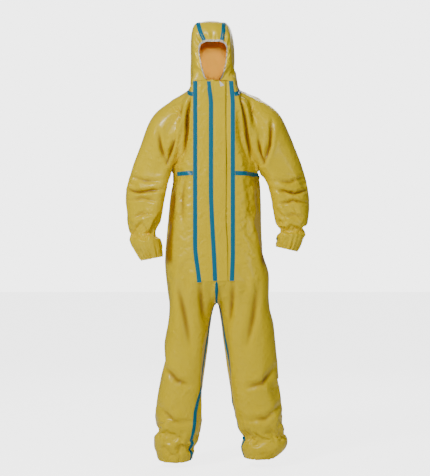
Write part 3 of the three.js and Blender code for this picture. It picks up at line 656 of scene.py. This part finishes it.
def finish_of(name, colour, roughness, bump, creases, coat=0.0, darker=0.92, shine=0.3, shaded=None):
    """A material with the crinkle group's height in its bump and a faint broad variation in its colour. With
    shaded, it turns to that colour as painted shade where the mesh's own attribute of painted shade is high:
    deep in the folds and in the dark line down each flank."""
    made = bpy.data.materials.new(name)
    made.use_nodes = True
    tree = made.node_tree
    shader = tree.nodes["Principled BSDF"]
    shader.inputs["Roughness"].default_value = roughness
    shader.inputs["Specular IOR Level"].default_value = shine
    shader.inputs["Coat Weight"].default_value = coat
    shader.inputs["Coat Roughness"].default_value = 0.22
    new = tree.nodes.new
    group, height, tint = new("ShaderNodeGroup"), new("ShaderNodeBump"), new("ShaderNodeMix")
    group.node_tree = CRINKLE
    group.inputs["Creases"].default_value = creases
    height.inputs["Distance"].default_value = bump * MM
    height.inputs["Strength"].default_value = 0.6
    tint.data_type = "RGBA"
    tint.inputs[6].default_value = (*[c * darker for c in colour], 1)
    tint.inputs[7].default_value = (*colour, 1)
    tree.links.new(group.outputs["Grime"], tint.inputs[0])
    tree.links.new(tint.outputs[2], shader.inputs["Base Color"])
    if shaded:
        deep, mix = new("ShaderNodeAttribute"), new("ShaderNodeMix")
        deep.attribute_name, mix.data_type = "painted_shade", "RGBA"
        mix.inputs[7].default_value = (*shaded, 1)
        tree.links.new(deep.outputs["Fac"], mix.inputs[0])
        tree.links.new(tint.outputs[2], mix.inputs[6])
        tree.links.new(mix.outputs[2], shader.inputs["Base Color"])
    tree.links.new(group.outputs["Height"], height.inputs["Height"])
    tree.links.new(height.outputs["Normal"], shader.inputs["Normal"])
    return made


# The coated cloth turns dark brown deep in its folds and down its flanks: painted shade.
coated = finish_of("coated_fabric", (0.88, 0.64, 0.000), 0.38, 5.5, 42, coat=0.3, darker=0.84, shine=0.25,
                   shaded=(0.30, 0.14, 0.0))
# The inside is the cloth's plain side, painted a deeper orange than the outside: painted shade and painted
# light coming through the yellow cloth.
uncoated_shaded = finish_of("fabric_inside_shaded", (1.00, 0.50, 0.04), 0.8, 1.5, 90)


def wall(name, p, n, inner, outer, look, ring=False, painted_shade=None, inside=None):
    """A closed thin wall over a grid of points: one skin outer mm in front of them along their normals, one
    inner mm in front, and a rim joining the two around every open edge. crease holds the amount of painted
    shade at each point, and inside is the material of the inner skin where it differs."""
    rows, columns = p.shape[:2]
    slope = np.cross(np.diff(p, axis=1)[:-1], np.diff(p, axis=0)[:, :-1])
    flip = 1 if (slope * n[:-1, :-1]).sum() > 0 else -1
    top = np.arange(rows * columns).reshape(rows, columns)
    under = top + rows * columns
    faces = [quads(top, ring), quads(under, ring)[:, ::-1]]

    def rim(a, b, closed):
        """The faces between two rows of point numbers, closed into a ring where asked."""
        if closed:
            a, b = np.append(a, a[:1]), np.append(b, b[:1])
        return np.stack([a[1:], a[:-1], b[:-1], b[1:]], -1)

    faces += [rim(top[0], under[0], ring), rim(top[-1], under[-1], ring)[:, ::-1]]
    if not ring:
        faces += [rim(top[:, 0], under[:, 0], False)[:, ::-1], rim(top[:, -1], under[:, -1], False)]
    faces = np.concatenate(faces)[:, ::flip]
    obj = mesh_of(name, np.concatenate([(p + n * outer).reshape(-1, 3), (p + n * inner).reshape(-1, 3)]), faces)
    obj.data.shade_smooth()
    both = np.concatenate([n.reshape(-1, 3), -n.reshape(-1, 3)])
    obj.data.normals_split_custom_set_from_vertices(both.tolist())
    obj.data.materials.append(look)
    if inside:
        obj.data.materials.append(inside)
        which = np.arange(len(faces)) // len(quads(top, ring)) == 1
        obj.data.polygons.foreach_set("material_index", which.astype(np.int32))
    if painted_shade is not None:
        value = obj.data.attributes.new("painted_shade", "FLOAT", "POINT")
        value.data.foreach_set("value", np.concatenate([painted_shade.ravel(), 0 * painted_shade.ravel()]).astype(np.float32))
    return obj


# x and z along the painted shade down each flank: a dark line where the trunk turns in to its side seam and
# away from the light
FLANK_SHADE = ([(-170, 1165), (-172, 1060), (-177, 980), (-184, 795)],
          [(180, 1165), (184, 1060), (191, 950), (199, 790)])


def painted_shade_of(name):
    """How much painted shade each point of a grid gets, from 0 to 1, from how deep it lies in a fold or in the
    dark line down a flank.
    """
    p, deep = grids[name], ramp(-height[name], 2.5, 11)
    if "front" in name or "back" in name:
        for line in FLANK_SHADE:
            away, share = nearest(p, line)
            ends = ramp(share, 0, 0.12) * (1 - ramp(share, 0.9, 1))
            deep = deep + 0.95 * np.exp(-((away / 15) ** 4)) * ends * ramp(-p[..., 1], 0, 34)
    return np.clip(deep, 0, 1)


def cloth_wall(name, p, n, painted_shade=None, ring=False):
    """A piece of the suit's cloth, glossy outside and plain inside, with painted shade in its folds where given
    and its inside painted a deeper orange for the shade inside the suit and the light that comes through the
    yellow cloth.
    """
    return wall(name, p, n, -CLOTH_THICK, 0, coated, ring, painted_shade, uncoated_shaded)


for side in SIDES:
    for part in ("front", "back"):
        name = f"{side}_{part}"
        obj = cloth_wall(f"{name}_cloth", grids[name], normals[name], painted_shade_of(name))
        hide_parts(f"{name}_panel")
        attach(obj, "torso")

# Waist elastic. A flat white band of woven elastic runs across the inside of the back at the waist, from side
# seam to side seam. It is stitched to the cloth, which it gathers.
elastic_look = finish_of("elastic_edge", (0.62, 0.58, 0.48), 0.75, 0.5, 160)


def walk(lines, n, at):
    """Points and normals at given distances along many lines at once, from each line's first point."""
    step = np.linalg.norm(np.diff(lines, axis=1), axis=-1)
    way = np.concatenate([np.zeros((len(lines), 1)), np.cumsum(step, axis=1)], 1)
    each, p, m = np.arange(len(lines)), [], []
    for a in at:
        i = np.clip((way <= a).sum(1) - 1, 0, lines.shape[1] - 2)
        t = ((a - way[each, i]) / np.maximum(step[each, i], 1e-6))[:, None]
        p.append(lines[each, i] + t * (lines[each, i + 1] - lines[each, i]))
        m.append(n[each, i] + np.clip(t, 0, 1) * (n[each, i + 1] - n[each, i]))
    m = np.stack(m, 1)
    return np.stack(p, 1), m / np.linalg.norm(m, axis=-1, keepdims=True)


def band(one, two, reach=8.5):
    """Points and normals of a strip laid on the cloth along a seam: each row reaches the same way into the
    cloth on both sides. one and two are (lines, normals) that start on the seam."""
    steps = reach * np.array([1, 0.97, 0.8, 0.6, 0.4, 0.2])
    pa, na = walk(*one, steps)
    pb, nb = walk(*two, np.concatenate([[0], steps[::-1]]))
    return np.concatenate([pa, pb], 1), np.concatenate([na, nb], 1)


def upright(name, row, columns, way):
    """Lines that run up or down a panel's grid from one row of it."""
    pick = np.arange(row, row + way * 9, way)
    return tuple(np.moveaxis(g[name][pick][:, columns], 0, 1) for g in (grids, normals))


def row_at(name, z, column):
    """The row of a panel's grid nearest to height z."""
    return int(np.abs(grids[name][:LOWER_ROWS * FINER, column, 2] - z).argmin())


parts = []
for side, way in (("right", -1), ("left", 1)):
    columns = np.arange(grids["right_back"].shape[1])[::way]
    row = row_at(f"{side}_back", WAIST, 10)
    p, n = band(upright(f"{side}_back", row, columns, 1), upright(f"{side}_back", row, columns, -1), 10)
    parts.append((p, n) if way < 0 else (p[1:], n[1:]))
p, n = (np.concatenate(x) for x in zip(*parts))
waist = wall("waist_elastic_band", p, n, -2.4, -0.8, elastic_look)
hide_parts("waist_elastic")
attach(waist, "torso")

# Waist tapes. A blue tape covers the seam across each front panel, from the fly to short of the side. Like all
# the tapes it is a thin plastic strip, sealed on with heat.
tape_look = finish_of("seam_tape", (0.000, 0.170, 0.285), 0.45, 0.5, 90, coat=0.08)
TAPE = (0.15, 1.0)


def taped(name, strip, nodes, bodies, bend=()):
    """A tape over the points and normals of a strip, fixed to one body, or, where bend is given, with its place
    baked into the mesh.
    """
    obj = wall(name, *strip, *TAPE, tape_look)
    if nodes:
        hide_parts(*nodes)
    if bend:
        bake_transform(obj)
    else:
        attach(obj, *bodies)


for side, near, far_end in (("right", 84, 150), ("left", 76, 178)):
    name = f"{side}_front"
    row = row_at(name, WAIST, 6)
    reach = np.abs(grids[name][row, :, 0])
    columns = np.flatnonzero((reach > near) & (reach < far_end) & (normals[name][row, :, 1] < -0.02))
    strip = band(upright(name, row, columns, 1), upright(name, row, columns, -1))
    taped(f"{side}_waist_seam_tape", strip, [f"{side}_waist_tape"], ["torso"])

# Sleeve cloth. The tube is one piece of cloth, shown in two lengths that meet above the elbow; the seam on its
# underside is taped to the wrist.
def split_at(name, height):
    """The last row of a tube that lies wholly above a height."""
    return int(np.flatnonzero(grids[name][..., 2].min(axis=1) > height)[-1])


def banded(name, rows, column, reach=8.5):
    """A strip down a tube's grid over the given rows, centred on a column that may drift from row to row."""
    wide, lines, rows = grids[name].shape[1], [], np.asarray(rows)[:, None]
    for way in (1, -1):
        at = column(grids[name][rows[:, 0], 0, 2])[:, None] * FINER + way * np.arange(12)[None]
        i, t = np.floor(at).astype(int), (at % 1)[..., None]
        j, i = (i + 1) % wide, i % wide
        lines.append(tuple((1 - t) * g[name][rows, i] + t * g[name][rows, j] for g in (grids, normals)))
    return band(*lines, reach)


def in_two(name, height, nodes):
    """A tube of cloth in two lengths that meet at a row just above a height, each with its place baked into the
    mesh. Gives the rows of both."""
    cut, p, n, deep = split_at(name, height), grids[name], normals[name], painted_shade_of(name)
    rows = np.arange(cut + 1), np.arange(cut, len(p))
    for i, part in enumerate(("top", "lower")):
        obj = cloth_wall(f"{name}_{part}_cloth", p[rows[i]], n[rows[i]], deep[rows[i]], ring=True)
        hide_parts(*nodes[i])
        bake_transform(obj)
    return rows


SHOULDER_BEND = {"right": ((-0.181, 0, 1.206), (-0.228, 0, 1.159)),
                 "left": ((0.187, 0, 1.206), (0.234, 0, 1.159))}
ELBOW_BEND = ((0, 0, 1.120), (0, 0, 1.010))
ABOVE_ELBOW = 1128


def underarm(z):
    """The sleeve's seam stays on its first column."""
    return 0 * z


for side in SIDES:
    name, bodies = f"{side}_sleeve", ("torso", f"{side}_upper_sleeve", f"{side}_lower_sleeve")
    nodes = ([f"{side}_sleeve_head", f"{side}_sleeve_upper"],
             [f"{side}_sleeve_elbow", f"{side}_sleeve_lower", f"{side}_sleeve_cuff"])
    top, low = in_two(name, ABOVE_ELBOW, nodes)
    strip = banded(name, top[3:], underarm)
    taped(f"{side}_underarm_tape_top", strip, [], bodies[:2], SHOULDER_BEND[side])
    strip = banded(name, low, underarm)
    taped(f"{side}_underarm_tape_lower", strip, [f"{side}_underarm_tape"], bodies[1:], ELBOW_BEND)

# Leg cloth. Each leg is shown in two lengths that meet above the knee. The inseam is taped from the crotch to
# the hem, and one tape covers the crotch seam from front to back.
HIP_BEND = {"right": ((0.006, 0, 0.655), (-0.054, 0, 0.551)),
            "left": ((0.006, 0, 0.655), (0.066, 0, 0.551))}
KNEE_BEND = ((0, 0, 0.520), (0, 0, 0.335))
ABOVE_KNEE = 524
INSEAM = {"right": lambda z: 53 + 9.5 * ramp(z, 430, 210) - 5 * ramp(z, 130, 40),
          "left": lambda z: 53.5 + 0 * z}

for side in SIDES:
    name, bodies = f"{side}_leg", ("torso", f"{side}_thigh", f"{side}_shin")
    nodes = ([f"{side}_leg_hip", f"{side}_leg_thigh"],
             [f"{side}_leg_knee", f"{side}_leg_shin", f"{side}_leg_ankle"])
    top, low = in_two(name, ABOVE_KNEE, nodes)
    strip = banded(name, top[2:], INSEAM[side])
    taped(f"{side}_inseam_tape_top", strip, [f"{side}_inseam_tape_thigh"], bodies[:2], HIP_BEND[side])
    strip = banded(name, low, INSEAM[side])
    taped(f"{side}_inseam_tape_lower", strip, [f"{side}_inseam_tape_shin"], bodies[1:], KNEE_BEND)

around = np.append(np.arange(FINER * 39, grids["right_leg"].shape[1]), 0)
rise = [tuple(np.moveaxis(g[f"{side}_leg"][:12][:, around], 0, 1) for g in (grids, normals)) for side in SIDES]
taped("crotch_seam_tape", band(*rise, 15), ["crotch_tape"], ["torso"])

# Hood cloth. The middle strip and the two sides are baked in place. Both long seams and the neck seam are
# taped, and a narrow pale elastic binds the face opening.
HOOD_BEND = ((-0.008, 0, 1.520), (-0.008, 0.018, 1.608))
for side in SIDES:
    name = f"{side}_hood"
    obj = cloth_wall(f"{name}_cloth", grids[name], normals[name], painted_shade_of(name))
    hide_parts(f"{side}_hood_side", f"{side}_collar")
    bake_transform(obj)
    way = slice(None) if side == "right" else slice(None, None, -1)
    down = tuple(np.moveaxis(g[name][:12], 0, 1) for g in (grids, normals))
    over = tuple(g["hood_strip"][:, way][:, :8] for g in (grids, normals))
    taped(f"{side}_hood_seam_tape", band(down, over), [f"{side}_hood_tape"], ["torso", "hood"], HOOD_BEND)
crown = cloth_wall("hood_strip_cloth", grids["hood_strip"], normals["hood_strip"])
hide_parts("hood_centre_strip")
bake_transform(crown)


def neck_lines(above):
    """Lines that leave the neck seam all the way round it, up into the hood or down into the trunk."""
    out = []
    for g in (grids, normals):
        if above:
            sides = [np.moveaxis(g[f"{s}_hood"][::-1][:10], 0, 1) for s in SIDES]
            back = np.moveaxis(g["hood_strip"][::-1][:10], 0, 1)
        else:
            sides = []
            for s in SIDES:
                front, rear = g[f"{s}_front"][::-1][:10], g[f"{s}_back"][::-1][:10, ::-1]
                sides.append(np.moveaxis(np.concatenate([front, rear[:, 1:-STRIP_COLUMNS * FINER]], 1), 0, 1))
            right, left = (g[f"{s}_back"][::-1][:10, :STRIP_COLUMNS * FINER + 1] for s in SIDES)
            back = np.moveaxis(np.concatenate([right[:, ::-1], left[:, 1:]], 1), 0, 1)
        out.append(np.concatenate([sides[0][3:], back[1:-1], sides[1][::-1][:-3]]))
    return tuple(out)


taped("neck_seam_tape", band(neck_lines(True), neck_lines(False)), ["neck_tape"], ["torso"])

edge = []
for g in (grids, normals):
    lines = []
    for side in SIDES:
        rows = int((grids[f"{side}_hood"][:, 0, 2] > 1537).sum())
        lines.append(g[f"{side}_hood"][:rows, :10])
    edge.append(np.concatenate([lines[0][::-1], np.moveaxis(g["hood_strip"][:10, 1:-1], 0, 1), lines[1]]))
for name, skin_side, reach in (("face_elastic_outer", (0.1, 1.3), [-1.2, 0, 2, 4, 6, 7.2]),
                               ("face_elastic_inner", (-1.9, -0.7), [-1.2, 0, 3, 6])):
    p, n = walk(*edge, reach)
    ripple = 0.35 * np.sin(np.arange(len(p)) * 1.35)[:, None, None]
    obj = wall(name, p + n * ripple, n, *skin_side, elastic_look)
    if name.endswith("outer"):
        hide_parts("face_elastic")
    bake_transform(obj)

# Fly. Two plackets step in from the front seams to the zip, and three straight tapes run over the seams. The
# right placket is flat to the centre seam; the left one drops away under the storm flap.
FLY_ROWS = np.linspace(0, 1, 190)[:, None]


def along_fly(x, depth, top, low=FLY_FOOT):
    """Grid on the leaning front: x and depth behind the front plane for each row and column, and each column's
    own top height."""
    z = low + (top - low) * FLY_ROWS
    x, depth = (f(z) + 0 * z if callable(f) else f + 0 * z for f in (x, depth))
    return np.stack([x, front_y(z) + depth, z], -1)


def facing_of(p):
    """Unit normals of an open grid, turned to the front."""
    n = np.cross(np.gradient(p, axis=1), np.gradient(p, axis=0))
    return -n * np.sign(n[..., 1].sum()) / np.linalg.norm(n, axis=-1, keepdims=True)


u = np.linspace(0, 1, 22)[None]
TURN, ZIP_X = 0.62, 15.5


def right_placket_x(z):
    """From the right seam to just past the centre seam, and from there in to the zip."""
    seam, bend = fly_x("right", z), np.maximum(fly_x("centre", z) + 5, -5)
    inward = (ZIP_X - bend) * np.maximum(u - TURN, 0) / (1 - TURN)
    return seam + (bend - seam) * np.minimum(u / TURN, 1) + inward


right = along_fly(right_placket_x, 0.2 + 13.2 * ramp(u, TURN, 1), 1531 + 5 * ramp(u, 0, 0.6))
puff = ramp(u, 0.09, 0.2) * (1 - ramp(u, 0.36, 0.47))
at_chin = ramp(right[..., 2], 1440, 1525) * (1.4 + 2.4 * crumple(right, 8, 22))
right[..., 1] -= puff * (0.8 + 0.9 * crumple(right, 12, 21) + at_chin)
left = along_fly(lambda z: fly_x("left", z) - (fly_x("left", z) - 26) * u,
                 0.2 + 5.5 * ramp(u, 0.18, 0.5) + 7.5 * ramp(u, 0.5, 0.95), 1531 + 5 * ramp(u, 0, 0.8))
left[..., 1] -= 0.7 * crumple(left, 11, 23) * ramp(u, 0.02, 0.15) * (1 - ramp(u, 0.3, 0.6))
for name, p in (("right_placket", right), ("left_placket", left)):
    obj = wall(f"{name}_cloth", p, facing_of(p), -CLOTH_THICK, 0, coated)
    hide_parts(name)
    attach(obj, "torso")

HALF_TAPE, TAPE_THICK = 8.5, 0.45
v = np.linspace(-HALF_TAPE, HALF_TAPE, 7)[None]
for which, low, top in (("right", 738, 1531), ("centre", 744, 1530), ("left", 744, 1531)):
    p = along_fly(lambda z: fly_x(which, z) + v, 0, top + 0 * v, low)
    sunk = 1.2 * ramp(v, 2, HALF_TAPE) if which == "right" else 0
    p[..., 1] -= 1.0 + 0.25 * crumple(p, 9, 31) + 0.3 * (1 - (v / HALF_TAPE) ** 2) - sunk
    obj = wall(f"{which}_fly_tape_strip", p, facing_of(p), -TAPE_THICK, 0, tape_look)
    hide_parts(f"{which}_fly_tape")
    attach(obj, "torso")

# Storm flap. A doubled strip of cloth is sewn in under the centre tape and folded over the zip, held down by
# an adhesive strip with a white release liner whose end sticks out at the chin.
FLAP, FLAP_THICK = (0.057, 0.787), 1.3
v = np.linspace(0, 1, 26)[None]


def flap_x(z):
    """From the root beside the centre tape to the free edge, which wavers and is 7 mm further out below."""
    root = np.maximum(-6.6, fly_x("centre", z) + 8.9)
    return root + (43 + 7 * (1 - ramp(z, 860, 1000)) + 1.2 * np.sin(z / 83) - root) * v


p = along_fly(flap_x, 0, 1530 + 0 * v)
rumple = ramp(v, 0, 0.2) * (0.5 + 0.5 * crumple(p * np.array([1, 1, 0.35]), 15, 41))
tucked, wave = 2.2 * ramp(v, 0.93, 1.0), 0.8 * np.sin(p[..., 2] / 47 + 1) * ramp(v, 0.4, 1)
p[..., 1] -= 0.9 + rumple - tucked + wave
flap = wall("storm_flap_cloth", p, facing_of(p), -FLAP_THICK, 0, coated)
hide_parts("storm_flap")
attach(flap, "storm_flap")
liner_look = finish_of("liner", (0.82, 0.82, 0.80), 0.5, 0.2, 40)
v = np.linspace(0, 1, 8)[None]
w = np.linspace(0, 1, 40)[:, None]
p = np.stack([17 + 15 * v + 6 * (1 - w), -92.6 + 1.2 * w + 0 * v, 1503 + 7 * v + (29 - 20 * v) * w], -1)
p[..., 1] -= 2.4 * np.sin(w * 2.2)
liner = wall("release_liner_end", p, facing_of(p), -0.3, 0, liner_look)
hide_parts("release_liner")
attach(liner, "storm_flap")

# Zip and inner flap. The moulded chain, its woven tapes, the slider and the pull keep their plain shapes. A
# flat inner flap lies behind them, and the storm flap's adhesive strip is beside them.
zip_look = finish_of("zip_plastic", (0.030, 0.032, 0.036), 0.38, 0.2, 120)
webbing = finish_of("zip_tape", (0.060, 0.062, 0.066), 0.8, 0.8, 260)
glue = finish_of("adhesive", (0.86, 0.85, 0.78), 0.3, 0.1, 60)
for look, nodes in ((webbing, ("zip_tape_right", "zip_tape_left")),
                    (zip_look, ("zip_teeth_right", "zip_teeth_left", "zip_bottom_stop")),
                    (zip_look, ("zip_slider", "zip_pull")),
                    (coated, ("inner_flap",)), (glue, ("flap_adhesive",))):
    for node in nodes:
        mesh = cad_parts[node].data
        mesh.materials.clear()
        mesh.materials.append(look)

# Floor. A plain pale studio floor, 40 m square and matt. It is as bright as the surroundings where it is seen
# directly, and gives no light of its own.
corners = np.array([[-20, -20, 0], [20, -20, 0], [20, 20, 0], [-20, 20, 0]])
floor = mesh_of("floor", corners / MM, np.array([[0, 1, 2, 3]]))
paper = bpy.data.materials.new("paper")
paper.use_nodes = True


def seen_bright(tree, socket, direct, otherwise):
    """Sets a strength to one value where the camera looks straight at it and to another for its light."""
    seen, mix = tree.nodes.new("ShaderNodeLightPath"), tree.nodes.new("ShaderNodeMapRange")
    mix.inputs["To Min"].default_value, mix.inputs["To Max"].default_value = otherwise, direct
    tree.links.new(seen.outputs["Is Camera Ray"], mix.inputs["Value"])
    tree.links.new(mix.outputs["Result"], socket)


shader = paper.node_tree.nodes["Principled BSDF"]
shader.inputs["Base Color"].default_value = (0.8, 0.8, 0.8, 1)
shader.inputs["Roughness"].default_value = 0.9
shader.inputs["Emission Color"].default_value = (1, 1, 1, 1)
seen_bright(paper.node_tree, shader.inputs["Emission Strength"], 3.4, 0)
floor.data.materials.append(paper)
floor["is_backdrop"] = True

# Light and camera. White surroundings fill the shadows. The main lamp stands high on the wearer's right, a
# weak one opposite, one behind, and a narrow one shines into the hood. The camera looks level at the middle.
world = bpy.data.worlds.new("white")
world.use_nodes = True
world.node_tree.nodes["Background"].inputs["Color"].default_value = (1, 1, 1, 1)
seen_bright(world.node_tree, world.node_tree.nodes["Background"].inputs["Strength"], 4.2, 0.16)
bpy.context.scene.world = world
for name, place, aim, power, size in (("key", (-1.9, -3.4, 3.6), (0, 0, 1.0), 165, 0.7),
                                      ("fill", (2.6, -3.6, 1.4), (0, 0, 0.9), 18, 1.2),
                                      ("rear", (0.5, 3.0, 3.2), (0, 0, 1.2), 60, 2.0)):
    lamp = bpy.data.lights.new(name, "AREA")
    lamp.energy, lamp.size = power, size
    obj = bpy.data.objects.new(name, lamp)
    obj.location = place
    way = np.array(aim) - np.array(place)
    obj.rotation_euler = (np.arctan2(np.hypot(way[0], way[1]), -way[2]), 0, np.arctan2(-way[0], way[1]))
    bpy.context.scene.collection.objects.link(obj)
spot = bpy.data.lights.new("face", "SPOT")
spot.energy, spot.spot_size, spot.spot_blend, spot.shadow_soft_size = 150, 0.075, 0.5, 0.02
obj = bpy.data.objects.new("face", spot)
obj.location = (-0.008, -1.9, 1.66)
obj.rotation_euler = (np.pi / 2 - 0.02, 0, 0)
bpy.context.scene.collection.objects.link(obj)
camera = bpy.data.cameras.new("camera")
stand = bpy.data.objects.new("camera", camera)
stand.location = (0, -6.2, 0.912)
stand.rotation_euler = (np.pi / 2, 0, 0)
camera.sensor_fit = "AUTO"
camera.lens = 36 * 6.2 / 1.904
bpy.context.scene.collection.objects.link(stand)
bpy.context.scene.camera = stand

low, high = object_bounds()
